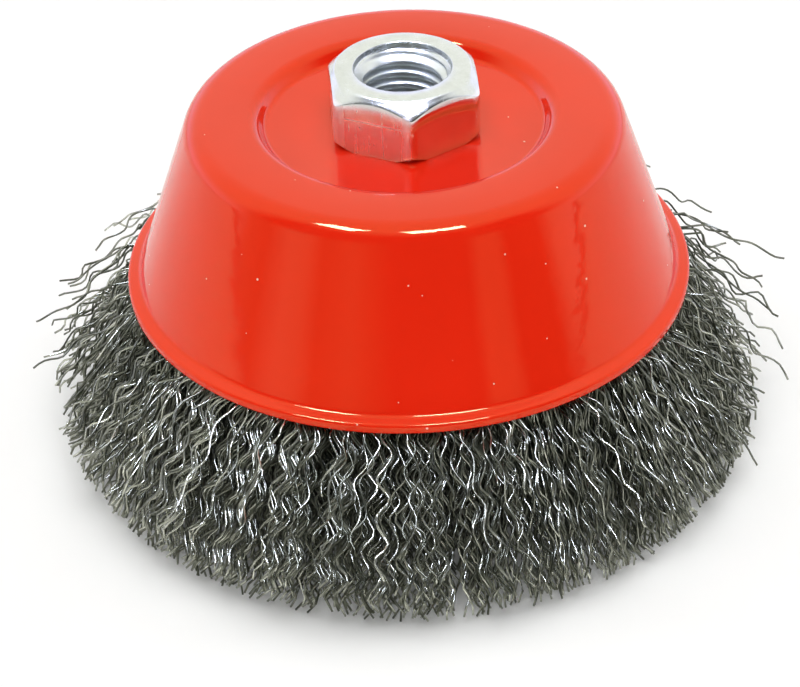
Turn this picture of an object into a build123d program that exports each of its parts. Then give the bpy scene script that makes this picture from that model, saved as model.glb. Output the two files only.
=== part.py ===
from build123d import *

# Crimped wire cup brush for a small angle grinder, in millimetres.
# The origin is the centre of the trimmed wire face and +Z is the spindle axis, pointing at the nut,
# so the brush stands on its wire tips at z = 0.

import math
import os

# The red cup: one pressed sheet, from the nut's seat over the crown and down the cone to the lip.
SHEET = 1.7
RIM_RADIUS = 44.0
RIM_EDGE_ROUND = 0.5
LIP_WIDTH = 2.0
LIP_FALL_ANGLE = 10.0
LIP_BEND = 1.0
CUP_HEIGHT = 28.6
CONE_HALF_ANGLE = 18.8
CROWN_BEND = 3.5
CROWN_WIDTH = 10.3
SEAT_DEPTH = 2.2
SEAT_STEP = 1.4
SEAT_FOOT_BEND = 1.0
SEAT_EDGE_BEND = 2.2

# The nut with its staked shank.
NUT_FLATS = 22.0
NUT_HEIGHT = 9.8
NUT_CORNER_ROUND = 1.5
NUT_TURN = 4.7
CHAMFER_INSIDE_FLATS = 0.8
CHAMFER_ANGLE = 45.0
FOOT_OUTSIDE_FLATS = 0.6
THREAD_DIAMETER = 14.0
THREAD_PITCH = 2.0
COUNTERBORE_RADIUS = 7.45
COUNTERBORE_DEPTH = 1.0
SHANK_RADIUS = 9.0
SHANK_FIT = 0.05
STAKE_RADIUS = 11.2
STAKE_HEIGHT = 2.0

# The clamping plate inside.
PLATE_SHEET = 1.5
PLATE_BEND = 3.0
PLATE_EDGE_ROUND = 0.5
PLATE_HEIGHT = 14.0

# The wire: locks of crimped hairpins over the holding ring.
FREE_LENGTH = 28.0
RING_WIRE = 3.5
LOCKS = 40
LOCK_GAP = 0.3
TIP_GAP = 1.0
LOCK_THICKNESS = 2.3
METAL_GAP = 0.35
RING_GAP = 0.4
TRIM_OUTER_RADIUS = 51.2
TRIM_INNER_RADIUS = 34.0
BELLY_RADIUS = 53.9
BELLY_HEIGHT = 6.0
CRIMP_PITCH = 7.0
CRIMP_HEIGHT = 1.0
CRIMP_DRIFT = 0.6
OUTER_STEPS_A_WAVE = 4
INNER_STEPS_A_WAVE = 2

# Heights and radii that follow.
slope = math.tan(math.radians(CONE_HALF_ANGLE))
lip_slope = math.tan(math.radians(LIP_FALL_ANGLE))
lip_edge = SHEET / math.cos(math.radians(LIP_FALL_ANGLE))
lip_corner_z = FREE_LENGTH + lip_edge + LIP_WIDTH * lip_slope
lip_corner_radius = RIM_RADIUS - LIP_WIDTH
crown_z = FREE_LENGTH + CUP_HEIGHT
crown_corner_radius = lip_corner_radius - (crown_z - lip_corner_z) * slope
seat_edge_radius = crown_corner_radius - CROWN_WIDTH
seat_radius = seat_edge_radius - SEAT_STEP
seat_z = crown_z - SEAT_DEPTH
plate_top_z = seat_z - SHEET
plate_foot_z = plate_top_z - PLATE_SHEET
stake_z = plate_foot_z - STAKE_HEIGHT
nut_top_z = seat_z + NUT_HEIGHT
bore_radius = THREAD_DIAMETER / 2 - 0.5413 * THREAD_PITCH
hole_radius = SHANK_RADIUS + SHANK_FIT
sheet_across_cone = SHEET / math.cos(math.radians(CONE_HALF_ANGLE))
ring_radius = RING_WIRE / 2
loop_inside = ring_radius + RING_GAP
loop_outside = loop_inside + LOCK_THICKNESS
ring_z = crown_z - SHEET - METAL_GAP - loop_outside
ring_foot_z = ring_z - loop_inside
plate_edge_z = plate_top_z - PLATE_HEIGHT
# Where the cup's inner wall leaves the cone for the lip, by the tangent length of that bend.
lip_turn = math.radians(90 - LIP_FALL_ANGLE - CONE_HALF_ANGLE)
lip_start_z = lip_corner_z - SHEET + (LIP_BEND + SHEET) * math.tan(lip_turn / 2)


def cup_wall(z):
    """Inner radius of the cup's cone at a height."""
    return lip_corner_radius - (z - lip_corner_z) * slope - sheet_across_cone


def plate_wall(z):
    """Outer radius of the clamping plate's cone: two lock legs and the ring fit outside it."""
    return cup_wall(z) - 2 * METAL_GAP - 2 * loop_outside


ring_centre_radius = cup_wall(ring_z) - METAL_GAP - loop_outside


def turned(profile):
    """Solid of revolution about Z from a flat (radius, height) profile."""
    return revolve(Plane.XZ * profile, Axis.Z)


def sheet_profile(points, bends, thickness):
    """A pressed sheet's section: its top line with rounded bends, and the same line one wall lower."""
    return make_face(offset(FilletPolyline(*points, radius=bends), amount=thickness, side=Side.RIGHT))


def rounded(profile, radius, *corners):
    """The profile with the corners nearest to the given points rounded."""
    return fillet([profile.vertices().sort_by_distance(Vector(*c))[0] for c in corners], radius)


def make_cup():
    past_rim = RIM_RADIUS + SHEET
    section = sheet_profile(
        [
            (hole_radius, seat_z),
            (seat_radius, seat_z),
            (seat_edge_radius, crown_z),
            (crown_corner_radius, crown_z),
            (lip_corner_radius, lip_corner_z),
            (past_rim, lip_corner_z - (past_rim - lip_corner_radius) * lip_slope),
        ],
        [SEAT_FOOT_BEND, SEAT_EDGE_BEND, CROWN_BEND, LIP_BEND],
        SHEET,
    )
    section &= Rectangle(RIM_RADIUS, crown_z, align=Align.MIN)
    edge_top = (RIM_RADIUS, FREE_LENGTH + lip_edge)
    return turned(rounded(section, RIM_EDGE_ROUND, edge_top, (RIM_RADIUS, FREE_LENGTH)))


def make_clamping_plate():
    section = sheet_profile(
        [
            (hole_radius, plate_top_z),
            (plate_wall(plate_top_z), plate_top_z),
            (plate_wall(plate_edge_z), plate_edge_z),
        ],
        [PLATE_BEND],
        PLATE_SHEET,
    )
    return turned(rounded(section, PLATE_EDGE_ROUND, (plate_wall(plate_edge_z), plate_edge_z)))


def make_nut():
    hexagon = RegularPolygon(NUT_FLATS / 2, 6, major_radius=False, rotation=NUT_TURN + 30)
    body = Pos(0, 0, seat_z) * extrude(fillet(hexagon.vertices(), NUT_CORNER_ROUND), NUT_HEIGHT)
    corner_radius = NUT_FLATS / math.sqrt(3)
    foot_radius = NUT_FLATS / 2 + FOOT_OUTSIDE_FLATS
    face_radius = NUT_FLATS / 2 - CHAMFER_INSIDE_FLATS
    chamfer_fall = (corner_radius - face_radius) * math.tan(math.radians(CHAMFER_ANGLE))
    body &= turned(
        make_face(
            Polyline(
                (0, seat_z),
                (foot_radius, seat_z),
                (corner_radius, seat_z + corner_radius - foot_radius),
                (corner_radius, nut_top_z - chamfer_fall),
                (face_radius, nut_top_z),
                (0, nut_top_z),
                close=True,
            )
        )
    )
    shank = make_face(
        Polyline(
            (0, seat_z),
            (SHANK_RADIUS, seat_z),
            (SHANK_RADIUS, plate_foot_z),
            (STAKE_RADIUS, plate_foot_z),
            (STAKE_RADIUS, stake_z),
            (0, stake_z),
            close=True,
        )
    )
    body += turned(rounded(shank, STAKE_HEIGHT / 2, (STAKE_RADIUS, stake_z)))
    sink = COUNTERBORE_RADIUS - bore_radius
    counterbore_z = nut_top_z - COUNTERBORE_DEPTH
    drilled = make_face(
        Polyline(
            (0, stake_z),
            (COUNTERBORE_RADIUS, stake_z),
            (bore_radius, stake_z + sink),
            (bore_radius, counterbore_z - sink),
            (COUNTERBORE_RADIUS, counterbore_z),
            (COUNTERBORE_RADIUS, nut_top_z),
            (0, nut_top_z),
            close=True,
        )
    )
    return body - turned(drilled)


def make_holding_ring():
    return Pos(0, 0, ring_z) * Torus(ring_centre_radius, ring_radius)


def fill_outside(z):
    """Outer radius of the wire at a height: along the cup, then straight out to the belly, then
    rounded back to the trimmed edge by a quarter ellipse."""
    if z >= lip_start_z:
        return cup_wall(z) - METAL_GAP
    if z >= BELLY_HEIGHT:
        start = cup_wall(lip_start_z) - METAL_GAP
        share = (lip_start_z - z) / (lip_start_z - BELLY_HEIGHT)
        return start + (BELLY_RADIUS - start) * share
    drop = 1 - z / BELLY_HEIGHT
    return TRIM_OUTER_RADIUS + (BELLY_RADIUS - TRIM_OUTER_RADIUS) * math.sqrt(1 - drop * drop)


def fill_inside(z):
    """Inner radius of the wire at a height: along the plate, then straight to the trimmed edge."""
    if z >= plate_edge_z:
        return plate_wall(z) + METAL_GAP
    start = plate_wall(plate_edge_z) + METAL_GAP
    return TRIM_INNER_RADIUS + (start - TRIM_INNER_RADIUS) * z / plate_edge_z


def lock_gap(z):
    """Space between neighbouring locks at a height: it widens from the lip to the tips."""
    splayed = max(0.0, 1 - z / lip_start_z)
    return LOCK_GAP + (TIP_GAP - LOCK_GAP) * splayed


def leg_gap(z):
    """Half the space between a hairpin's legs: the ring's room, closing to the lock gap by the level
    of the plate's edge."""
    opened = min(1.0, max(0.0, (z - plate_edge_z) / (ring_foot_z - plate_edge_z)))
    return lock_gap(z) / 2 + (loop_inside - lock_gap(z) / 2) * opened


def leg_middle(z):
    """Radius half way between the outside and the inside of the wire."""
    return (fill_outside(z) + fill_inside(z)) / 2


def crimp_start(lock):
    """Where a lock's crimp starts, in radians. Neighbours stay nearly in step, so that they nest: the
    crimp drifts from lock to lock by no more than a share of the gap between them."""
    most_drift = CRIMP_DRIFT * LOCK_GAP / CRIMP_HEIGHT
    return most_drift * LOCKS / (2 * math.pi) * math.sin(2 * math.pi * lock / LOCKS)


def crimp_shift(lock, z):
    """How far the crimp moves a lock sideways at a height. It grows over half a wave below the cup."""
    grown = min(1.0, max(0.0, 2 * (lip_start_z - z) / CRIMP_PITCH))
    return CRIMP_HEIGHT * grown * math.sin(crimp_start(lock) + 2 * math.pi * z / CRIMP_PITCH)


def crimp_levels(steps_a_wave):
    """Heights of the crimped sections, evenly spaced from the cup's lip down to the trimmed face."""
    steps = max(1, round(lip_start_z * steps_a_wave / CRIMP_PITCH))
    return [lip_start_z * (steps - i) / steps for i in range(steps + 1)]


def hairpin_path():
    """The (near, far) points of a lock's sections in the (radius, height) plane, from the outer tips
    over the ring to the inner tips: near faces the ring, far faces the cup or the plate."""
    clamped = [ring_z, ring_foot_z, plate_edge_z]
    outer = clamped + crimp_levels(OUTER_STEPS_A_WAVE)
    inner = clamped + crimp_levels(INNER_STEPS_A_WAVE)
    path = [((leg_middle(z) + leg_gap(z), z), (fill_outside(z), z)) for z in reversed(outer)]
    for degrees in (45, 90, 135):
        across, up = math.cos(math.radians(degrees)), math.sin(math.radians(degrees))
        path.append(
            tuple((ring_centre_radius + r * across, ring_z + r * up) for r in (loop_inside, loop_outside))
        )
    path += [((leg_middle(z) - leg_gap(z), z), (fill_inside(z), z)) for z in inner]
    return path


def section(lock, near, far):
    """A lock's section, with the lock's middle on +X: its sides are radial, half a gap inside the
    lock's share of the circle, and the crimp moves all four corners sideways."""
    corners = []
    for (radius, z), side in ((near, -1), (far, -1), (far, 1), (near, 1)):
        half_width = radius * math.tan(math.pi / LOCKS) - lock_gap(z) / 2
        corners.append((radius, side * half_width + crimp_shift(lock, z), z))
    return corners


def make_lock(lock, path):
    """One lock as a closed solid of flat faces, carried from section to section."""
    rows = [section(lock, near, far) for near, far in path]
    outlines = [rows[0], rows[-1]]
    for above, below in zip(rows, rows[1:]):
        outlines += [
            [above[i], above[(i + 1) % 4], below[(i + 1) % 4], below[i]] for i in range(4)
        ]
    faces = [Face(Wire.make_polygon(outline)) for outline in outlines]
    return Rot(0, 0, 360 * lock / LOCKS) * Solid(Shell(faces))


def make_wire_locks():
    path = hairpin_path()
    return Compound([make_lock(lock, path) for lock in range(LOCKS)])


os.makedirs("parts", exist_ok=True)
export_step(make_cup(), "parts/cup.step")
export_step(make_nut(), "parts/nut.step")
export_step(make_clamping_plate(), "parts/clamping_plate.step")
export_step(make_holding_ring(), "parts/holding_ring.step")
export_step(make_wire_locks(), "parts/wire_locks.step")
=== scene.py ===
# %% [markdown]
# A crimped wire cup brush. A red pressed cup holds several thousand crimped steel wires, and a
# zinc-plated nut screws it onto a grinder's spindle. The solids are already built and packed, so
# this lesson only dresses them: it loads them first, and everything after stands where they stand.

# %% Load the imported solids
import bpy
import numpy as np
from mathutils import Matrix, Vector


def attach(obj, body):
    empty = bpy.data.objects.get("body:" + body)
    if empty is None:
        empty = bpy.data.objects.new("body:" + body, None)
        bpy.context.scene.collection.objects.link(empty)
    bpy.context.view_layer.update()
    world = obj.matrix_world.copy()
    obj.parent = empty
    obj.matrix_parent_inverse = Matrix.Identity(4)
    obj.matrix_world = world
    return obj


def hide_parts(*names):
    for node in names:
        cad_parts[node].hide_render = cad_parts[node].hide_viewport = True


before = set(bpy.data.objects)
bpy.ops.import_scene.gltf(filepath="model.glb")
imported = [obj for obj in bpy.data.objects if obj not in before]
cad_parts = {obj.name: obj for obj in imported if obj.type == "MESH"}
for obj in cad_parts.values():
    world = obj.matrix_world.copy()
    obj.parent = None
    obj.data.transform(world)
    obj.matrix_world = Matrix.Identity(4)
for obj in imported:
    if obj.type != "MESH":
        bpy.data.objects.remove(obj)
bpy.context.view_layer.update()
print("nodes", sorted(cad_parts))

# %% [markdown]
# Everything is worked out in millimetres and turned to metres when a mesh is made. These are the
# sizes that the pieces share: heights run up from the trimmed wire face, radii out from the spindle.

# %% Shared sizes
MM = 0.001
SHEET = 1.7
FREE_LENGTH = 28.0
CUP_HEIGHT = 28.6
RIM_RADIUS = 44.0
CONE = np.tan(np.radians(18.8))
LIP_ANGLE = np.radians(10.0)
LIP_WIDTH = 2.0
CROWN_WIDTH = 10.3
SEAT_DEPTH = 2.2
SEAT_STEP = 1.4
HOLE_RADIUS = 9.05
WIRE_ROOM = 9.6
PLATE_SHEET = 1.5
PLATE_HEIGHT = 14.0
NUT_HEIGHT = 9.8
STAKE_HEIGHT = 2.0

CROWN_Z = FREE_LENGTH + CUP_HEIGHT
SEAT_Z = CROWN_Z - SEAT_DEPTH
LIP_EDGE = SHEET / np.cos(LIP_ANGLE)
LIP_FALL = np.tan(LIP_ANGLE)
LIP_Z = FREE_LENGTH + LIP_EDGE + LIP_WIDTH * LIP_FALL
LIP_RADIUS = RIM_RADIUS - LIP_WIDTH
CROWN_RADIUS = LIP_RADIUS - (CROWN_Z - LIP_Z) * CONE
SEAT_EDGE_RADIUS = CROWN_RADIUS - CROWN_WIDTH
PLATE_TOP_Z = SEAT_Z - SHEET
PLATE_EDGE_Z = PLATE_TOP_Z - PLATE_HEIGHT
NUT_TOP_Z = SEAT_Z + NUT_HEIGHT
STAKE_Z = PLATE_TOP_Z - PLATE_SHEET - STAKE_HEIGHT


def cup_wall(z):
    """Inner radius of the cup's cone: the outer line, less the sheet's thickness across the cone."""
    return LIP_RADIUS - (z - LIP_Z) * CONE - SHEET * np.sqrt(1 + CONE**2)


def plate_wall(z):
    """Outer radius of the clamping plate's cone: the cup's inner wall, less the room for the wire."""
    return cup_wall(z) - WIRE_ROOM


# %% [markdown]
# A turned or pressed piece is one closed line in the (radius, height) plane, swept round the
# spindle. The line is written as its sharp corners, and each corner gets the bend that the press
# tool gave it. Working the bends out as arcs keeps the list of corners short.

# %% Lines with rounded corners
def rounded_line(corners, bends, step=12.0):
    """A closed line through corners, each replaced by an arc of its bend radius. With unit directions
    a into and b out of a corner and half-turn h, the arc starts bend * tan(h) before the corner and
    each of its points is start + bend * (sin(w) * a + (1 - cos(w)) * n), n the inward normal. The
    step is the most that one point of an arc turns from the next, in degrees."""
    corners = np.array(corners, float)
    line = []
    for here, before, after, bend in zip(corners, np.roll(corners, 1, 0), np.roll(corners, -1, 0), bends):
        a, b = here - before, after - here
        a, b = a / np.hypot(*a), b / np.hypot(*b)
        turn = np.arctan2(a[0] * b[1] - a[1] * b[0], a @ b)
        w = np.linspace(0, abs(turn), max(2, int(np.ceil(np.degrees(abs(turn)) / step)) + 1))[:, None]
        inward = np.array([-a[1], a[0]]) * np.sign(turn)
        start = here - bend * np.tan(abs(turn) / 2) * a
        line.append(start + bend * (np.sin(w) * a + (1 - np.cos(w)) * inward))
    return np.concatenate(line)


def sheet_line(corners, bends, thickness, edge_round):
    """The closed outline of a pressed sheet from its top line: out along the top, back along the
    underside. Each underside corner is the top corner moved by thickness * (n + m) / (1 + n.m), where
    n and m point down from the two runs that meet there, and its bend is one thickness different."""
    top = np.array(corners, float)
    run = np.diff(top, axis=0)
    down = np.stack([run[:, 1], -run[:, 0]], 1) / np.hypot(*run.T)[:, None]
    n, m = np.vstack([down[:1], down]), np.vstack([down, down[-1:]])
    under = top + thickness * (n + m) / (1 + (n * m).sum(1, keepdims=True))
    turn = run[:-1, 0] * run[1:, 1] - run[:-1, 1] * run[1:, 0]
    under_bends = [b + thickness if t > 0 else b - thickness for b, t in zip(bends, turn)]
    ends = [edge_round[0]] + list(bends) + [edge_round[1]] * 2 + under_bends[::-1] + [edge_round[0]]
    return np.vstack([top, under[::-1]]), ends


SEAT_FOOT_BEND, SEAT_EDGE_BEND, CROWN_BEND, LIP_BEND = 1.0, 2.2, 3.5, 1.0
CUP_EDGES = (0.1, 0.6)
UNDER_RIM = 6

cup_corners, cup_bends = sheet_line(
    [(HOLE_RADIUS, SEAT_Z), (SEAT_EDGE_RADIUS - SEAT_STEP, SEAT_Z), (SEAT_EDGE_RADIUS, CROWN_Z),
     (CROWN_RADIUS, CROWN_Z), (LIP_RADIUS, LIP_Z), (RIM_RADIUS, LIP_Z - LIP_WIDTH * LIP_FALL)],
    [SEAT_FOOT_BEND, SEAT_EDGE_BEND, CROWN_BEND, LIP_BEND], SHEET, CUP_EDGES)
# The lip is trimmed upright, so the corner under its rim lies straight below the upper one.
cup_corners[UNDER_RIM] = (RIM_RADIUS, FREE_LENGTH)
cup_outline = rounded_line(cup_corners, cup_bends)
print("cup outline points", len(cup_outline), "crown corner radius", round(CROWN_RADIUS, 2))

# %% [markdown]
# Every new mesh is a grid of points with quads between them, so one helper numbers the quads and
# another hands whole arrays to Blender. The sign of the enclosed volume says whether the faces
# point outwards, and turns them round if they don't.

# %% Grids to meshes
def grid_quads(rows, cols):
    """Quads of a grid that closes both ways: point (i, j) is number i * cols + j."""
    i, j = np.arange(rows)[:, None], np.arange(cols)[None, :]
    below, right = (i + 1) % rows, (j + 1) % cols
    corners = (i * cols + j, i * cols + right, below * cols + right, below * cols + j)
    return np.stack(corners, -1).reshape(-1, 4)


def outward(points, quads):
    """The quads, turned round if their triangles' sum of a . (b x c), six times the volume that they
    enclose, is negative."""
    a, b, c, d = (points[quads[:, k]] for k in range(4))
    volume = (a * np.cross(b, c)).sum() + (a * np.cross(c, d)).sum()
    return quads if volume > 0 else quads[:, ::-1]


def new_piece(name, points, quads, ends=None, smooth=True):
    """A mesh object at the origin from points in millimetres, quads, and triangles for flat ends."""
    ends = np.zeros((0, 3), int) if ends is None else ends
    mesh = bpy.data.meshes.new(name)
    mesh.vertices.add(len(points))
    mesh.vertices.foreach_set("co", (points * MM).astype(np.float32).ravel())
    mesh.loops.add(quads.size + ends.size)
    mesh.loops.foreach_set("vertex_index", np.concatenate([quads.ravel(), ends.ravel()]))
    mesh.polygons.add(len(quads) + len(ends))
    starts = np.concatenate([np.arange(len(quads)) * 4, quads.size + np.arange(len(ends)) * 3])
    mesh.polygons.foreach_set("loop_start", starts)
    shade = np.zeros(len(starts), bool)
    shade[: len(quads)] = smooth
    mesh.polygons.foreach_set("use_smooth", shade)
    mesh.update(calc_edges=True)
    piece = bpy.data.objects.new(name, mesh)
    bpy.context.scene.collection.objects.link(piece)
    print(name, "triangles", 2 * len(quads) + len(ends))
    return piece


def turned_points(outline, steps):
    """A closed outline swept round Z: (r cos t, r sin t, z) for every outline point and every t."""
    t = np.linspace(0, 2 * np.pi, steps, endpoint=False)[None, :]
    r, z = outline[:, :1], outline[:, 1:]
    return np.stack([r * np.cos(t), r * np.sin(t), z + 0 * t], -1).reshape(-1, 3)


def turned_piece(name, outline, steps):
    """A mesh object from a closed outline swept round Z."""
    points = turned_points(outline, steps)
    return new_piece(name, points, outward(points, grid_quads(len(outline), steps)))


print("mesh helpers ready")

# %% [markdown]
# Shader sums are easier to read as Python. A small class wraps a node's output, and the usual
# operators add Math nodes behind it. Every other node comes from one function, which takes the
# node's settings, such as a ramp's stops, and then what goes into its sockets.

# %% A wrapped socket
class Wire:
    """One node output in a node tree. Sums on it add Math nodes; node() adds any other node."""

    def __init__(self, tree, socket):
        self.tree, self.socket = tree, socket

    def node(self, kind, settings=(), out=0, **inputs):
        """A new node in the same tree."""
        return add_node(self.tree, kind, settings, out, **inputs)

    def beside(self, name):
        """Another output of the same node."""
        return Wire(self.tree, self.socket.node.outputs[name])

    def math(self, operation, *others):
        """A Math node with this as its first value."""
        fed = {f"i{k}": value for k, value in enumerate((self,) + others)}
        return self.node("ShaderNodeMath", {"operation": operation}, **fed)

    def __add__(self, other):
        return self.math("ADD", other)

    def __mul__(self, other):
        return self.math("MULTIPLY", other)

    __radd__, __rmul__ = __add__, __mul__

    def __sub__(self, other):
        return self.math("SUBTRACT", other)

    def __rsub__(self, other):
        return self.node("ShaderNodeMath", {"operation": "SUBTRACT"}, i0=other, i1=self)

    def __truediv__(self, other):
        return self.math("DIVIDE", other)

    def __lt__(self, other):
        return self.math("LESS_THAN", other)

    def clamped(self, low, high):
        """0 at low and before it, 1 at high and past it, straight between; low may be the larger."""
        return self.node("ShaderNodeMapRange", {"clamp": True}, i0=self, i1=low, i2=high, i3=0.0, i4=1.0)

    def mix(self, first, second):
        """The colour first where this is 0, second where it is 1."""
        return self.node("ShaderNodeMix", {"data_type": "RGBA"}, out=2, i0=self, i6=first, i7=second)


def set_stops(ramp, stops):
    """A colour ramp's stops, each a place between 0 and 1 and a colour."""
    while len(ramp.elements) < len(stops):
        ramp.elements.new(0.5)
    for element, (at, colour) in zip(ramp.elements, stops):
        element.position, element.color = at, colour


def add_node(tree, kind, settings=(), out=0, **inputs):
    """A node of a kind: its settings first, then inputs given as i0, i1 by place or by socket name.
    The output that comes back is given by place or by name as well."""
    node = tree.nodes.new(kind)
    for key, value in dict(settings).items():
        if key == "stops":
            set_stops(node.color_ramp, value)
        else:
            setattr(node, key, value)
    for key, value in inputs.items():
        by_place = key[0] == "i" and key[1:].isdigit()
        socket = node.inputs[int(key[1:])] if by_place else node.inputs[key.replace("_", " ")]
        if isinstance(value, Wire):
            tree.links.new(value.socket, socket)
        else:
            socket.default_value = value
    return Wire(tree, node.outputs[out]) if node.outputs else None


def new_material(name, **constants):
    """A material with its shader's fixed values set, then its tree, its shader node and the place of
    the shaded point on the object."""
    material = bpy.data.materials.new(name)
    material.use_nodes = True
    tree = material.node_tree
    shader = tree.nodes["Principled BSDF"]
    for key, value in constants.items():
        shader.inputs[key.replace("_", " ")].default_value = value
    place = add_node(tree, "ShaderNodeTexCoord", out="Object")
    return material, tree, shader, place


def feed(tree, shader, **wires):
    """Links each wire to the shader's socket of that name."""
    for key, value in wires.items():
        tree.links.new(value.socket, shader.inputs[key.replace("_", " ")])


def axes(place):
    """The x, y and z of a place or a direction."""
    x = place.node("ShaderNodeSeparateXYZ", Vector=place)
    return x, x.beside("Y"), x.beside("Z")


def noise(place, scale, detail=2.0, rough=0.5):
    """Noise between 0 and 1, scale in features to the metre."""
    return place.node("ShaderNodeTexNoise", i0=place, Scale=scale, Detail=detail, Roughness=rough)


def bump(height, distance, strength=1.0):
    """A bumped normal, distance in metres for a height of 1."""
    return height.node("ShaderNodeBump", Strength=strength, Distance=distance, Height=height)


print("shader helpers ready")

# %% [markdown]
# The cup is glossy red enamel over pressed steel. Real enamel isn't a mirror: it has a fine orange
# peel, the sheet under it is slightly wavy, and dust that fell into it while wet leaves pale specks.
# All three are patterns on the object's own coordinates, so they stay put from every side. What the
# enamel mirrors comes back warm, so its reflection has a tint.

# %% Red enamel
def red_enamel():
    """Enamel over three noises for its waves and peel. A speck shows where the middle of a cell is
    nearer than a radius that only one cell in five has, so specks are few and differ in size."""
    material, tree, shader, place = new_material(
        "red_enamel", Roughness=0.045, IOR=1.5, Specular_Tint=(1.0, 1.0, 0.4, 1.0))
    middle = place.node("ShaderNodeTexVoronoi", {"feature": "F1"}, i0=place, Scale=500.0)
    chance = add_node(tree, "ShaderNodeSeparateColor", i0=middle.beside("Color"))
    speck = middle < (chance * 0.5 - 0.4)
    tone = noise(place, 45.0, 3.0).clamped(0.3, 0.7).mix((0.75, 0.0165, 0.004, 1), (0.8, 0.019, 0.005, 1))
    peel = noise(place, 700.0, 1.0) * 0.3 + noise(place, 55.0, 1.0) * 3.0 + noise(place, 220.0, 2.0) * 1.8
    feed(tree, shader, Base_Color=speck.mix(tone, (0.93, 0.55, 0.45, 1)))
    feed(tree, shader, Normal=bump(peel + speck * 2.0, 0.00002))
    return material


CUP_STEPS = 240
cup = turned_piece("red_cup", cup_outline, CUP_STEPS)
cup.data.materials.append(red_enamel())
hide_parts("cup")
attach(cup, "root")

# %% [markdown]
# The nut is one piece: hexagon, shank and the staked rim below the plate. Its surface is a stack of
# rings, each a radius and a height that may change with the angle. On the hexagon the radius is the
# distance to the nearest flat, cut back round the corners; the chamfer's lower edge drops where the
# hexagon stands further out, which gives the scallops. In the bore the radius follows the thread,
# below a shallow counterbore. Every edge is broken by a tenth of a millimetre or so, because a sharp
# one would catch no light.

# %% The nut's rings
NUT_FLAT = 11.0
NUT_TURN = np.radians(4.7)
NUT_FOOT = 11.6
CORNER_ROUND = 1.5
CHAMFER_RADIUS = 10.2
CHAMFER = np.tan(np.radians(45.0))
COUNTERBORE_RADIUS = 7.45
COUNTERBORE_DEPTH = 1.0
THREAD_RADIUS = 7.0
PITCH = 2.0
MINOR_RADIUS = THREAD_RADIUS - 0.5413 * PITCH
THREAD_RINGS = 105
SHANK_RADIUS = 9.0
STAKE_RADIUS = 11.2
STAKE_BEND = 1.0
TOP_RING = 9.0
NUT_STEPS = 192


def hexagon_radius(t, flat):
    """Distance from the axis to a hexagon with rounded corners at angle t: flat / cos(t) on the flats,
    and on a corner the far crossing of the ray with a circle of radius CORNER_ROUND."""
    t = (t - NUT_TURN + np.pi / 6) % (np.pi / 3) - np.pi / 6
    straight = flat / np.cos(t)
    centre = (flat - CORNER_ROUND) / np.cos(np.pi / 6)
    away = np.pi / 6 - np.abs(t)
    inside = np.maximum(CORNER_ROUND**2 - (centre * np.sin(away)) ** 2, 0)
    on_corner = np.abs((flat - CORNER_ROUND) * np.tan(np.pi / 6)) < np.abs(flat * np.tan(t))
    return np.where(on_corner, centre * np.cos(away) + np.sqrt(inside), straight)


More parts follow.
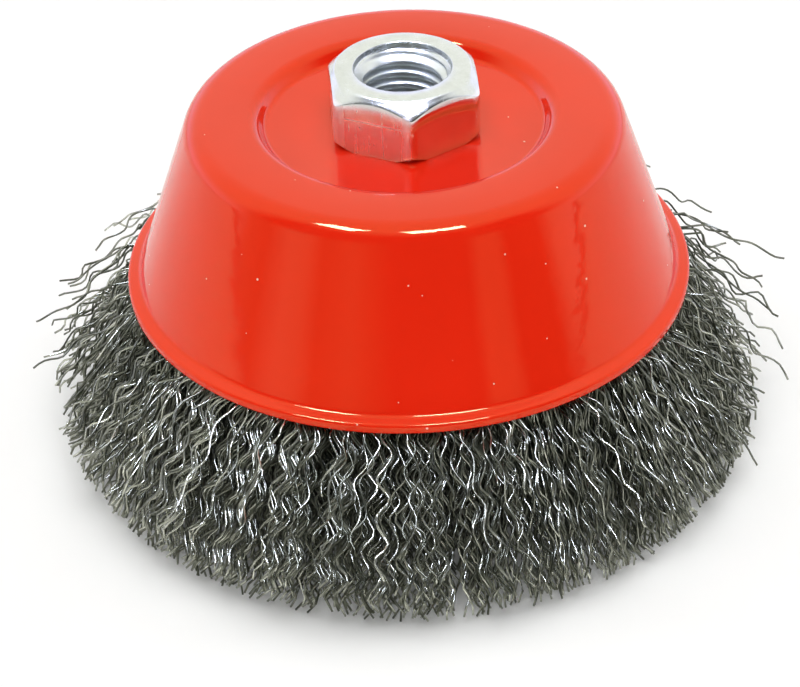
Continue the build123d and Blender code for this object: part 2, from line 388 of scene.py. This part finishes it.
def nut_rings():
    """The nut's points, (rings, angles, 3): foot, flats, chamfer, top, counterbore, thread, staked rim
    and shank. The thread's radius falls from major to minor with its crest, 0.5 - 0.5 cos(2 pi turn)
    stretched a little and cut off flat at 0 and 1, where turn is the height in pitches less the share
    of a turn. It never goes below the 45 degree cones that run in from both ends of the bore."""
    t = np.linspace(0, 2 * np.pi, NUT_STEPS, endpoint=False)
    out = hexagon_radius(t, NUT_FLAT)
    rings = []

    def ring(r, z):
        rings.append((r + 0 * t, z + 0 * t))

    past = out - CHAMFER_RADIUS
    drop = NUT_TOP_Z - past * CHAMFER
    foot = SEAT_Z + np.maximum(out - NUT_FOOT, 0)
    ring(SHANK_RADIUS + 0.3, SEAT_Z)
    ring(np.minimum(out, NUT_FOOT) - 0.15, SEAT_Z)
    ring(np.minimum(out, NUT_FOOT) - 0.04, SEAT_Z + 0.03)
    ring(out - 0.04, foot + 0.06)
    ring(out, foot + 0.18)
    for share in (0.3, 0.7):
        ring(out, foot + share * (drop - foot))
    ring(out, drop - 0.12)
    ring(out - 0.04, drop - 0.02)
    ring(out - 0.12, drop + 0.1 * CHAMFER)
    for share in (0.33, 0.67):
        left = past * (1 - share)
        ring(CHAMFER_RADIUS + left, NUT_TOP_Z - left * CHAMFER)
    ring(CHAMFER_RADIUS + 0.12, NUT_TOP_Z - 0.06)
    ring(CHAMFER_RADIUS - 0.1, NUT_TOP_Z)
    ring(TOP_RING, NUT_TOP_Z)
    ring(COUNTERBORE_RADIUS + 0.15, NUT_TOP_Z)
    ring(COUNTERBORE_RADIUS + 0.02, NUT_TOP_Z - 0.08)
    ring(COUNTERBORE_RADIUS, NUT_TOP_Z - 0.2)
    thread_top = NUT_TOP_Z - COUNTERBORE_DEPTH
    ring(COUNTERBORE_RADIUS, thread_top + 0.12)
    for z in np.linspace(thread_top, STAKE_Z + 0.15, THREAD_RINGS):
        turn = (z / PITCH - t / (2 * np.pi)) % 1.0
        crest = np.clip(1.25 * (0.5 - 0.5 * np.cos(2 * np.pi * turn)) - 0.05, 0, 1)
        thread = THREAD_RADIUS - (THREAD_RADIUS - MINOR_RADIUS) * crest
        cone = COUNTERBORE_RADIUS - np.minimum(thread_top - z, z - STAKE_Z)
        ring(np.maximum(thread, cone), z)
    ring(COUNTERBORE_RADIUS, STAKE_Z)
    bend_start = STAKE_RADIUS - STAKE_BEND
    ring(bend_start, STAKE_Z)
    for bend in np.radians((0, 30, 60, 90)):
        ring(bend_start + STAKE_BEND * np.sin(bend), STAKE_Z + STAKE_BEND * (1 - np.cos(bend)))
    ring(STAKE_RADIUS, STAKE_Z + STAKE_HEIGHT)
    ring(SHANK_RADIUS, STAKE_Z + STAKE_HEIGHT)
    r, z = (np.array(part) for part in zip(*rings))
    return np.stack([r * np.cos(t), r * np.sin(t), z], -1)


grid = nut_rings()
points = grid.reshape(-1, 3)
nut = new_piece("threaded_nut", points, outward(points, grid_quads(len(grid), NUT_STEPS)))
print("nut rings", len(grid))

# %% [markdown]
# Zinc plate is bright but not polished: a cloudy grey-green white with fine machining marks on the
# top and in the bore, and almost a mirror on the flats, which show the red crown. The flat at the
# front left has been scuffed: a pale veil with upright streaks and one scratch lies over it. Masks
# pick out these places by where they lie, and change the roughness there, or the colour too.

# %% Zinc plate
SCRATCH_Z, SCRATCH_WIDTH = 60.1, 0.18


def zinc_plate():
    """Zinc with a mask for each place: the bore, the flats, their corners and the scuffed flat."""
    material, tree, shader, place = new_material("zinc_plate")
    x, y, z = axes(place)
    radius = (x * x + y * y).math("SQRT")
    bore = radius.clamped(7.3 * MM, 7.1 * MM)
    corner = radius.clamped(11.9 * MM, 12.2 * MM)
    flats = radius.clamped(10.6 * MM, 10.9 * MM) * z.clamped(62.6 * MM, 62.3 * MM)
    scuffed = flats * x.clamped(1.2 * MM, 0.6 * MM) * y.clamped(0.0, -1.0 * MM)
    cloud = noise(place, 350.0, 4.0, 0.6).clamped(0.3, 0.7)
    marks = noise(place, 1600.0, 3.0, 0.7).clamped(0.5, 0.8)
    upright = place.node("ShaderNodeVectorMath", {"operation": "MULTIPLY"}, i0=place, i1=(1.0, 1.0, 0.06))
    streak = noise(upright, 2600.0, 3.0, 0.7).clamped(0.4, 0.7)
    scratch = ((z - SCRATCH_Z * MM) * (1 / (SCRATCH_WIDTH * MM))).math("ABSOLUTE").clamped(1.0, 0.0)
    veil = (scuffed * (0.55 + 0.2 * streak + 0.45 * scratch)).clamped(0.0, 1.0)
    tone = cloud.mix((0.66, 0.69, 0.67, 1), (0.76, 0.79, 0.78, 1))
    pale = (veil * 0.3 + flats * 0.45).clamped(0.0, 1.0)
    level = (1 - flats) * (0.2 + 0.1 * marks) + flats * 0.03
    dull = 0.06 * cloud + 0.1 * bore + 0.3 * veil + 0.1 * corner * flats
    height = noise(place, 500.0, 2.0) + 0.1 * marks + 0.08 * veil
    feed(tree, shader, Base_Color=pale.mix(tone, (0.9, 0.86, 0.86, 1)), Metallic=1 - 0.2 * veil)
    feed(tree, shader, Roughness=level + dull, Normal=bump(height, 0.00001))
    return material


nut.data.materials.append(zinc_plate())
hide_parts("nut")
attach(nut, "root")

# %% [markdown]
# Inside, the clamping plate and the holding ring are plain pressed steel. The plate shows from
# below through the hollow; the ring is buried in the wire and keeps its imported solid.

# %% Clamping plate and ring
PLATE_BEND = 3.0
PLATE_EDGES = (0.1, 0.5)
PLATE_STEPS = 144


def plain_steel():
    """Dull steel, clouded in colour and roughness by one noise."""
    material, tree, shader, place = new_material("plain_steel", Metallic=1.0)
    cloud = noise(place, 220.0, 4.0, 0.6).clamped(0.3, 0.7)
    feed(tree, shader, Base_Color=cloud.mix((0.28, 0.27, 0.25, 1), (0.4, 0.39, 0.37, 1)))
    feed(tree, shader, Roughness=0.35 + 0.2 * cloud)
    feed(tree, shader, Normal=bump(noise(place, 700.0, 3.0), 0.00003))
    return material


steel = plain_steel()
plate_corners, plate_bends = sheet_line(
    [(HOLE_RADIUS, PLATE_TOP_Z), (plate_wall(PLATE_TOP_Z), PLATE_TOP_Z),
     (plate_wall(PLATE_EDGE_Z), PLATE_EDGE_Z)],
    [PLATE_BEND], PLATE_SHEET, PLATE_EDGES)
plate = turned_piece("clamping_plate_dressed", rounded_line(plate_corners, plate_bends), PLATE_STEPS)
plate.data.materials.append(steel)
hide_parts("clamping_plate")
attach(plate, "root")
ring_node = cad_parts["holding_ring"]
ring_node.data.materials.clear()
ring_node.data.materials.append(steel)

# %% [markdown]
# The wire is what the eye goes to. Each wire is a thin tube along its own path: out of the cup,
# fanning to the trimmed face, and crimped all the way, because it was run between toothed rollers.
# Wires that were crimped and cut together lie in step, so the skirt is dealt out in locks, and each
# lock has its own start of the wave, its own length and height of wave and its own plane of waving.
# Round the skirt the locks go from neat, where neighbours lie in step as well, to tangled.

# %% Locks
RANDOM = np.random.default_rng(11)
LOCKS = 420
LOCK_ANGLE = RANDOM.uniform(0, 2 * np.pi, LOCKS)
LOCK_LAYER = RANDOM.uniform(0, 1, LOCKS)


def order(angle):
    """How neatly the wires lie in step round the brush, 0 for a tangle and 1 for a nest: two slow
    waves round the skirt, so that neat and tangled stretches follow each other."""
    return np.clip(0.45 + 0.5 * np.sin(2 * angle - 0.52) + 0.25 * np.sin(3 * angle + 1.0), 0, 1)


NEAT = order(LOCK_ANGLE)
# How far a lock differs from the ones beside it.
UNLIKE = 1.1 - 0.85 * NEAT
LOCK_START = 2.2 * np.sin(2 * LOCK_ANGLE + 0.6) + 0.9 * np.sin(5 * LOCK_ANGLE)
LOCK_START += RANDOM.normal(0, 0.9, LOCKS) * UNLIKE
LOCK_START += np.pi * (RANDOM.random(LOCKS) < 0.5 * (1 - NEAT))
LOCK_PLANE = RANDOM.normal(0, 0.2 + 0.9 * (1 - NEAT), LOCKS)
LOCK_LENGTH = 5.6 + 0.7 * NEAT + RANDOM.normal(0, 0.25, LOCKS) * UNLIKE
LOCK_HEIGHT = 0.68 + 0.26 * NEAT
LOCK_SPLAY = RANDOM.normal(0, 1.0, LOCKS)
print("locks", LOCKS, "of which neat", int((NEAT > 0.5).sum()))

# %% [markdown]
# Without its crimp a wire is a smooth curve with three corners: where it is held in the cup, where
# it leaves the lip, and its trimmed tip. The further out in the skirt it lies, the further it leans.
# Some of the outermost wires are strays, which have sprung away from the rest.

# %% Where each wire starts and ends
INNER_FLOOR, OUTER_FLOOR = 33.4, 58.8
FLARE = 0.6
EDGE_RADIUS = 53.0
MOUTH_Z, MOUTH_WIDTH = 29.5, 9.9
MOUTH_RADIUS = cup_wall(34.0) + 0.95
LOOSE_LAYER, STRAY_LAYER = 0.86, 0.84
STRAY_SHARE, STRAY_RADIUS = 0.22, 63.0


def deal(count, low, high):
    """Angle and layer of count wires between two layers: layer 0 is the inside of the skirt, layer 1
    the outside. Angles are even steps moved about, and layers follow the golden ratio, which spreads
    neighbours apart."""
    angle = (np.arange(count) + RANDOM.uniform(-0.5, 0.5, count)) / count * 2 * np.pi
    layer = low + (high - low) * ((np.arange(count) * 0.6180339887) % 1.0)
    return angle, np.clip(layer + RANDOM.normal(0, 0.02, count), low, high)


def base_corners(angle, layer, lean, start_z):
    """The three corners of each wire's uncrimped line in the (radius, height) plane: a in the cup, b
    at the lip and c at the tip, where the skirt's lower edge is rounded off past EDGE_RADIUS. A stray
    ends far out from the lip instead. Last comes which of the wires are strays."""
    count = len(angle)
    room = cup_wall(start_z) - plate_wall(start_z) - 0.9
    a = np.stack([plate_wall(start_z) + 0.4 + 0.955 * layer * room, np.full(count, start_z)], 1)
    b = np.stack([MOUTH_RADIUS - MOUTH_WIDTH * (1 - layer), np.full(count, MOUTH_Z)], 1)
    splay = lean * layer + RANDOM.normal(0, 0.4 + 0.5 * layer, count)
    splay = splay + (layer > LOOSE_LAYER) * RANDOM.exponential(1.3, count)
    floor = np.maximum(INNER_FLOOR + (OUTER_FLOOR - INNER_FLOOR) * layer + splay, INNER_FLOOR - 0.5)
    lift = np.maximum(0, floor - EDGE_RADIUS) * 0.95 + np.abs(RANDOM.normal(0, 0.6, count))
    c = np.stack([floor - lift * FLARE * layer, lift], 1)
    stray = (layer > STRAY_LAYER) & (RANDOM.random(count) < STRAY_SHARE)
    fan = np.radians(RANDOM.uniform(29, 66, count))
    reach = RANDOM.uniform(13, 30, count)
    far = np.stack([b[:, 0] + reach * np.sin(fan), b[:, 1] - reach * np.cos(fan)], 1)
    far[:, 0] = np.minimum(far[:, 0], STRAY_RADIUS + RANDOM.uniform(-6, 1.5, count))
    c = np.where(stray[:, None], far, c)
    c[:, 1] = np.maximum(c[:, 1], 0.25)
    return a, b, c, stray


print("width of the skirt at the cup", MOUTH_WIDTH, "and at the floor", round(OUTER_FLOOR - INNER_FLOOR, 1))

# %% [markdown]
# The crimp is a wave laid over that curve. Most of it is one sine with a weaker, shorter one on top,
# as toothed rollers leave it, and it grows from nothing where the wire is held. All paths are worked
# out at once, as whole arrays.

# %% The crimp
WIRE_RADIUS = 0.185
GAP_RADIUS, SKIRT_DEPTH = 42.0, 13.0
LIP_TOP_Z, LIP_FOOT_Z, LIP_INSIDE = 30.0, 27.8, 41.6


def wire_paths(count, low, high, start_z, points):
    """Paths of count wires, (count, points, 3) in millimetres, the normal of each one's wave and its
    tint. The uncrimped line is the curve (1 - t)^2 a + 2 t (1 - t) b + t^2 c. The crimp adds
    height * sin(2 pi s / length + start) across it, s being the distance along it, and every wire
    takes its start, length, height and plane from the nearest lock. A stray waves out of its plane
    too, so that it looks crimped from every side."""
    angle, layer = deal(count, low, high)
    gap = ((angle[:, None] - LOCK_ANGLE + np.pi) % (2 * np.pi) - np.pi) * GAP_RADIUS
    lock = np.hypot(gap, (layer[:, None] - LOCK_LAYER) * SKIRT_DEPTH).argmin(1)
    neat = NEAT[lock][:, None]
    lean = LOCK_SPLAY[lock] + 1.6 * np.maximum(0, np.cos(angle - np.radians(205)))
    a, b, c, stray = base_corners(angle, layer, lean, start_z)
    a, b, c, stray = a[:, None], b[:, None], c[:, None], stray[:, None]

    def spread(width):
        return RANDOM.normal(0, width, (count, 1))

    length = LOCK_LENGTH[lock][:, None] * (1 + spread(0.02)) * (1 + 0.25 * stray)
    start = LOCK_START[lock][:, None] + spread(1.0) * (0.14 + 0.5 * (1 - neat))
    t = np.linspace(0, 1, points)[None, :]
    w = t[..., None]
    base = (1 - w) ** 2 * a + (2 * w * (1 - w)) * b + w**2 * c
    step = np.linalg.norm(np.diff(base, axis=1), axis=2)
    s = np.concatenate([np.zeros((count, 1)), np.cumsum(step, 1)], 1)
    along = np.gradient(base, axis=1)
    along /= np.linalg.norm(along, axis=2, keepdims=True)
    out_r, out_z = -along[..., 1], along[..., 0]

    def wave_of(pitch, begin):
        return np.sin(2 * np.pi * s / pitch + begin)

    grown = np.clip((s - 2.0) / 4.0, 0, 1)
    height = LOCK_HEIGHT[lock][:, None] * RANDOM.uniform(0.8, 1.2, (count, 1)) * grown * (1 - 0.2 * stray)
    wave = height * (wave_of(length, start) + 0.18 * wave_of(0.57 * length, spread(2.0)))
    loose = 1.2 - 0.8 * neat
    twist = LOCK_PLANE[lock][:, None] + loose * (spread(0.25) + spread(0.4) * t)
    to_lock = ((LOCK_ANGLE[lock] - angle + np.pi) % (2 * np.pi) - np.pi)[:, None]
    pull = to_lock * (0.22 * np.sin(np.pi * np.minimum(t * 1.1, 1)) + 0.3 * t**3)
    wander = loose * spread(1.2) * t**2 + spread(0.3) * np.sin(2 * np.pi * t)
    wander = wander + stray * spread(2.0) * t**1.5
    bend = (spread(0.4) + stray * RANDOM.uniform(0.0, 2.0, (count, 1))) * np.sin(np.pi * t) * grown
    side = wave * np.cos(twist) + wander
    lift = wave * np.sin(twist) + bend + stray * 0.5 * height * wave_of(1.3 * length, spread(2.0))
    r = base[..., 0] + lift * out_r
    z = np.maximum(base[..., 1] + lift * out_z, WIRE_RADIUS)
    # The wires stay inside the cup: within its wall above the lip, and within the lip beside it.
    held = np.where(z > LIP_TOP_Z, cup_wall(z) - 0.3, LIP_INSIDE)
    r = np.where(z > LIP_FOOT_Z, np.minimum(r, held), r)
    theta = angle[:, None] + pull + side / r
    paths = np.stack([r * np.cos(theta), r * np.sin(theta), z], -1)
    across = np.stack([np.cos(theta), np.sin(theta), 0 * theta], -1) * out_r[..., None]
    across[..., 2] = out_z
    tangent = np.stack([-np.sin(theta), np.cos(theta), 0 * theta], -1)
    normal = across * np.cos(twist)[..., None] - tangent * np.sin(twist)[..., None]
    return paths, normal, RANDOM.random(count)


print("wires are dealt in", LOCKS, "locks")

# %% [markdown]
# A tube needs only three sides at this size: it is a third of a millimetre thick, and smooth shading
# rounds it. The frame of each ring comes from the wave's own normal, which never lies along the
# wire, so the tubes don't twist. The skirt is cut into pieces so that no mesh grows too large.

# %% Wires to tubes
SIDES = 3


def tube_piece(name, paths, normal, tint):
    """Tubes round many paths: ring point k is centre + radius * (cos a * n + sin a * m), where n is
    the wave's normal made square to the path, m is path x n and a steps by a third of a turn."""
    count, rings = paths.shape[:2]
    along = np.gradient(paths, axis=1)
    along /= np.linalg.norm(along, axis=2, keepdims=True)
    n = normal - (normal * along).sum(2, keepdims=True) * along
    n /= np.linalg.norm(n, axis=2, keepdims=True)
    m = np.cross(along, n)
    a = 2 * np.pi * (np.arange(SIDES) / SIDES)[None, :] + tint[:, None] * 6.0
    a = a[:, None, :, None]
    points = paths[:, :, None] + WIRE_RADIUS * (np.cos(a) * n[:, :, None] + np.sin(a) * m[:, :, None])
    points = points.reshape(-1, 3)
    points[:, 2] = np.maximum(points[:, 2], 0.0)
    first = (np.arange(count) * rings * SIDES)[:, None, None]
    i, k = np.arange(rings - 1)[None, :, None] * SIDES, np.arange(SIDES)[None, None, :]
    here, beside = first + i + k, first + i + (k + 1) % SIDES
    quads = np.stack([here, beside, beside + SIDES, here + SIDES], -1).reshape(-1, 4)
    head = first[:, :, 0] + np.array([2, 1, 0])
    tip = first[:, :, 0] + (rings - 1) * SIDES + np.array([0, 1, 2])
    piece = new_piece(name, points, quads, np.concatenate([head, tip]))
    layer = piece.data.attributes.new("tint", "FLOAT", "POINT")
    layer.data.foreach_set("value", np.repeat(tint, rings * SIDES).astype(np.float32))
    return piece


print("sides to a tube", SIDES)

# %% [markdown]
# Drawn steel wire is dark with a thin oil film, and it glints where a crimp faces a lamp. A random
# tint for each wire, stored on the mesh, makes some wires older and duller than others.

# %% Steel wire
def steel_wire():
    """Steel as bright as its shine squared, so that most wires are dark. Shine is the wire's own tint
    with some of a stain's noise in it, and a wire of a high tint is a little smoother too."""
    material, tree, shader, place = new_material("steel_wire", Metallic=1.0)
    tint = add_node(tree, "ShaderNodeAttribute", {"attribute_name": "tint"}, out=2)
    stain = noise(place, 260.0, 3.0).clamped(0.35, 0.7)
    shine = (0.65 * tint + 0.35 * stain).clamped(0.0, 1.0)
    feed(tree, shader, Base_Color=(shine * shine).mix((0.105, 0.111, 0.078, 1), (0.95, 0.97, 0.82, 1)))
    feed(tree, shader, Roughness=0.33 - 0.08 * tint)
    return material


wire_metal = steel_wire()
# Name, wires, first and last layer, height of the wires' start, points to a wire and pieces.
SKIRT = (
    ("outer", 1640, 0.72, 1.0, 32.0, 44, 3),
    ("middle", 1300, 0.2, 0.72, 33.0, 33, 2),
    ("inner", 1300, 0.0, 0.2, 41.0, 21, 1))


def place_wires(name, paths, normal, tint):
    """One piece of the skirt in its metal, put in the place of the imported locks."""
    wires = tube_piece(name, paths, normal, tint)
    wires.data.materials.append(wire_metal)
    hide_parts("wire_locks")
    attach(wires, "root")


wires_made = 0
for layer_name, count, low, high, start_z, points, shares in SKIRT:
    paths, normal, tint = wire_paths(count, low, high, start_z, points)
    for share in range(shares):
        part = slice(share * count // shares, (share + 1) * count // shares)
        place_wires(f"{layer_name}_wires_{share + 1}", paths[part], normal[part], tint[part])
    wires_made += count
print("wires made", wires_made)

# %% [markdown]
# Up in the cup each wire is a hairpin: its two legs are one wire, folded over the holding ring, and
# the clamping plate wedges the fold against the cup. Nobody sees the folds, so a few hundred plain
# ones stand for them all.

# %% Folds over the ring
RING_INSET = 4.8
FOLDS = 480


def fold_paths(count):
    """Paths over the ring: up beside the cup, a half turn of radius f about the ring's middle, and
    down beside the plate. f lies between the ring's own wire and the room left round it. The ring's
    middle is RING_INSET below the crown's sheet and in from the cup's wall."""
    angle = np.arange(count) / count * 2 * np.pi
    ring_z = CROWN_Z - SHEET - RING_INSET
    middle = cup_wall(ring_z) - RING_INSET
    f = RANDOM.uniform(2.4, 4.1, (count, 1))
    a = np.radians(np.linspace(0, 180, 7))[None, :]
    up_z, down_z = np.array([[32.0, 41.0]]), np.array([[45.0, 40.0]])
    r = np.hstack([middle + f + cup_wall(up_z) - cup_wall(ring_z), middle + f * np.cos(a),
                   middle - f + plate_wall(down_z) - plate_wall(ring_z)])
    z = np.hstack([up_z + 0 * f, ring_z + f * np.sin(a), down_z + 0 * f])
    theta = angle[:, None] + RANDOM.normal(0, 0.01, (count, 1)) + 0 * r
    side = np.stack([-np.sin(theta), np.cos(theta), 0 * theta], -1)
    return np.stack([r * np.cos(theta), r * np.sin(theta), z], -1), side, RANDOM.random(count)


place_wires("hairpin_folds", *fold_paths(FOLDS))

# %% [markdown]
# The floor is plain and pale. To the camera the surroundings are white, and for light that bounces
# between surfaces they stay at a plain level, so the colours render as they are written. The floor
# glows a little for the camera and mirrors alone, which keeps it white where nothing shades it and
# leaves the brush's soft shadow.

# %% Floor
FLOOR_EDGES = (-3000.0, 3000.0)
FLOOR_GLOW = 0.05


def seen(tree):
    """Two sockets: 1 for a ray from the camera or through glass, and 1 for a ray off a mirror."""
    camera = add_node(tree, "ShaderNodeLightPath", out="Is Camera Ray")
    return camera.math("MAXIMUM", camera.beside("Is Transmission Ray")), camera.beside("Is Glossy Ray")


def pale_floor():
    """Nearly white, a little cloudy, and glowing for the camera and mirrors."""
    material, tree, shader, place = new_material(
        "pale_floor", Roughness=0.9, Specular_IOR_Level=0.0, Emission_Color=(1, 1, 1, 1))
    grain = noise(place, 30.0, 3.0).clamped(0.2, 0.8)
    camera, glossy = seen(tree)
    feed(tree, shader, Base_Color=grain.mix((0.94, 0.94, 0.925, 1), (0.96, 0.96, 0.95, 1)))
    feed(tree, shader, Emission_Strength=camera.math("MAXIMUM", glossy) * FLOOR_GLOW)
    return material


floor_points = np.array([(x, y, 0.0) for y in FLOOR_EDGES for x in FLOOR_EDGES])
floor = new_piece("floor", floor_points, np.array([[0, 1, 3, 2]]), smooth=False)
floor.data.materials.append(pale_floor())

# %% [markdown]
# What the enamel and the steel mirror matters as much as the lamps. The real brush stood on a white
# sweep with a dim room in front of it: the crown mirrors the white sweep, the cone's front mirrors
# the dark room with a few paler strips, and its sides mirror the sweep again. The world gives mirrors
# that room as a ramp round the horizon. Higher up it gives way to the white of the sweep: soon
# behind the brush, and in front of it only near the top, with darkness in between.

# %% Surroundings
MIRROR_LEVEL = 1.3
BOUNCE_LEVEL = 0.2
# Azimuth and level of each stop.
ROOM = (
    (0.0, 1.2), (0.2, 1.3), (0.24, 1.25), (0.28, 0.45), (0.31, 0.3), (0.345, 0.85), (0.37, 0.75),
    (0.39, 0.3), (0.43, 0.45), (0.455, 0.25), (0.48, 0.05), (0.575, 0.05), (0.59, 0.5), (0.615, 0.5),
    (0.63, 0.08), (0.675, 0.12), (0.7, 0.9), (0.76, 1.25), (0.8, 1.3), (1.0, 1.2))


def room_colour(level):
    """A level as a share of the mirrors' own, with less blue in it the dimmer it is."""
    share = level / MIRROR_LEVEL
    return share, share, share * (0.5 + 0.8 * share), 1


def surroundings():
    """White to the camera and BOUNCE_LEVEL for bounced light. Mirrors see the room by its azimuth,
    atan2(x, -y) / (2 pi) + 0.5, which is 0 and 1 behind the brush and 0.5 towards the camera."""
    world = bpy.data.worlds.new("studio")
    bpy.context.scene.world = world
    world.use_nodes = True
    sky = world.node_tree
    sky.nodes.clear()
    x, y, z = axes(add_node(sky, "ShaderNodeTexCoord", out="Generated"))
    azimuth = x.math("ARCTAN2", y * -1.0) / (2 * np.pi) + 0.5
    stops = [(at, room_colour(level)) for at, level in ROOM]
    room = azimuth.node("ShaderNodeValToRGB", {"stops": stops}, i0=azimuth)
    front = (y * -1.0).clamped(-0.1, 0.3)
    above = (1 - front) * z.clamped(0.14, 0.4) + front * z.clamped(0.7, 0.95)
    low = (front * z.clamped(0.15, 0.35) * 0.85).mix(room, (0.03, 0.03, 0.03, 1))
    mirrored = above.mix(low, (0.85, 0.85, 0.78, 1))
    camera, glossy = seen(sky)
    shown = glossy.mix((1, 1, 1, 1), mirrored)
    strength = camera + (1 - camera) * (glossy * MIRROR_LEVEL + (1 - glossy) * BOUNCE_LEVEL)
    background = add_node(sky, "ShaderNodeBackground", Color=shown, Strength=strength)
    add_node(sky, "ShaderNodeOutputWorld", Surface=background)


surroundings()
print("surroundings ready")

# %% [markdown]
# Two cool soft boxes hang above and in front of the brush, one well to the left and one a little to
# the right. They are only mirrored: they give the pair of bright bars on the crown's bend and again
# on the lip, and the glints on the wire. The light itself comes from wide panels that no mirror
# shows, one overhead, one on each side and one in front.

# %% Lamps
COOL, WHITE = (0.8, 0.85, 1.2), (1.0, 1.0, 1.0)
AIM = Vector((0, 0, 0.03))


def lamp(name, azimuth, elevation, distance, width, height, radiance, colour=WHITE, mirrored=False):
    """An area lamp that looks at AIM from azimuth (0 is the camera's side) and elevation. Its power is
    radiance * pi * its area, so the radiance is what a mirror shows of it. A lamp is either mirrored
    or gives light, never both."""
    az, el = np.radians(azimuth), np.radians(elevation)
    way = np.array([np.sin(az) * np.cos(el), -np.cos(az) * np.cos(el), np.sin(el)])
    data = bpy.data.lights.new(name, "AREA")
    data.shape, data.size, data.size_y = "RECTANGLE", width, height
    data.energy = radiance * np.pi * width * height
    data.color = colour
    light = bpy.data.objects.new(name, data)
    bpy.context.scene.collection.objects.link(light)
    light.location = Vector(way * distance) + AIM
    light.rotation_euler = Vector(way).to_track_quat("Z", "Y").to_euler()
    light.visible_glossy, light.visible_diffuse = mirrored, not mirrored


lamp("soft_box_left", -56, 66, 0.9, 0.24, 0.17, 48.0, colour=COOL, mirrored=True)
lamp("soft_box_right", 22, 66, 0.9, 0.3, 0.17, 48.0, colour=COOL, mirrored=True)
lamp("overhead", 0, 90, 1.5, 1.5, 1.5, 2.7)
lamp("side_left", -112, 20, 1.5, 1.3, 0.9, 1.8)
lamp("side_right", 112, 20, 1.5, 1.3, 0.9, 1.8)
lamp("front_fill", 0, 15, 1.5, 1.6, 0.9, 1.9)
print("lamps", len(bpy.data.lights))

# %% [markdown]
# The camera stands where the photographer stood: about 34 degrees above the floor and 45
# centimetres from the middle of the cup's rim, with a long lens, tipped and rolled by a degree or
# two. Its matrix holds its right, up and back directions and its place as columns.

# %% Camera
PHOTO_WIDTH = 800
FOCAL_PIXELS = 2837.0
SENSOR_WIDTH = 36.0
CAMERA_DISTANCE = 0.4469
ELEVATION, TIP, SWING, ROLL = np.radians((33.94, -1.555, 0.219, -1.72))


def turned_about(vector, axis, angle):
    """Rodrigues: v cos a + (k x v) sin a + k (k . v) (1 - cos a)."""
    across = np.cross(axis, vector)
    return vector * np.cos(angle) + across * np.sin(angle) + axis * (axis @ vector) * (1 - np.cos(angle))


right = np.array([1.0, 0, 0])
up = np.array([0, np.sin(ELEVATION), np.cos(ELEVATION)])
back = np.array([0, -np.cos(ELEVATION), np.sin(ELEVATION)])
spot = back * CAMERA_DISTANCE + np.array([0, 0, FREE_LENGTH * MM])
up, back = turned_about(up, right, TIP), turned_about(back, right, TIP)
right, back = turned_about(right, up, SWING), turned_about(back, up, SWING)
right, up = turned_about(right, back, ROLL), turned_about(up, back, ROLL)
camera_data = bpy.data.cameras.new("camera")
camera_data.sensor_fit = "HORIZONTAL"
camera_data.sensor_width = SENSOR_WIDTH
camera_data.lens = FOCAL_PIXELS / PHOTO_WIDTH * SENSOR_WIDTH
camera_data.clip_start = 0.01
camera = bpy.data.objects.new("camera", camera_data)
bpy.context.scene.collection.objects.link(camera)
matrix = np.eye(4)
matrix[:3] = np.stack([right, up, back, spot], 1)
camera.matrix_world = Matrix(matrix.tolist())
bpy.context.scene.camera = camera
bpy.context.scene.view_settings.view_transform = "Standard"
print("lens", round(camera_data.lens, 1))

# %% [markdown]
# Last, the script prints that the brush is dressed.


print("brush dressed")
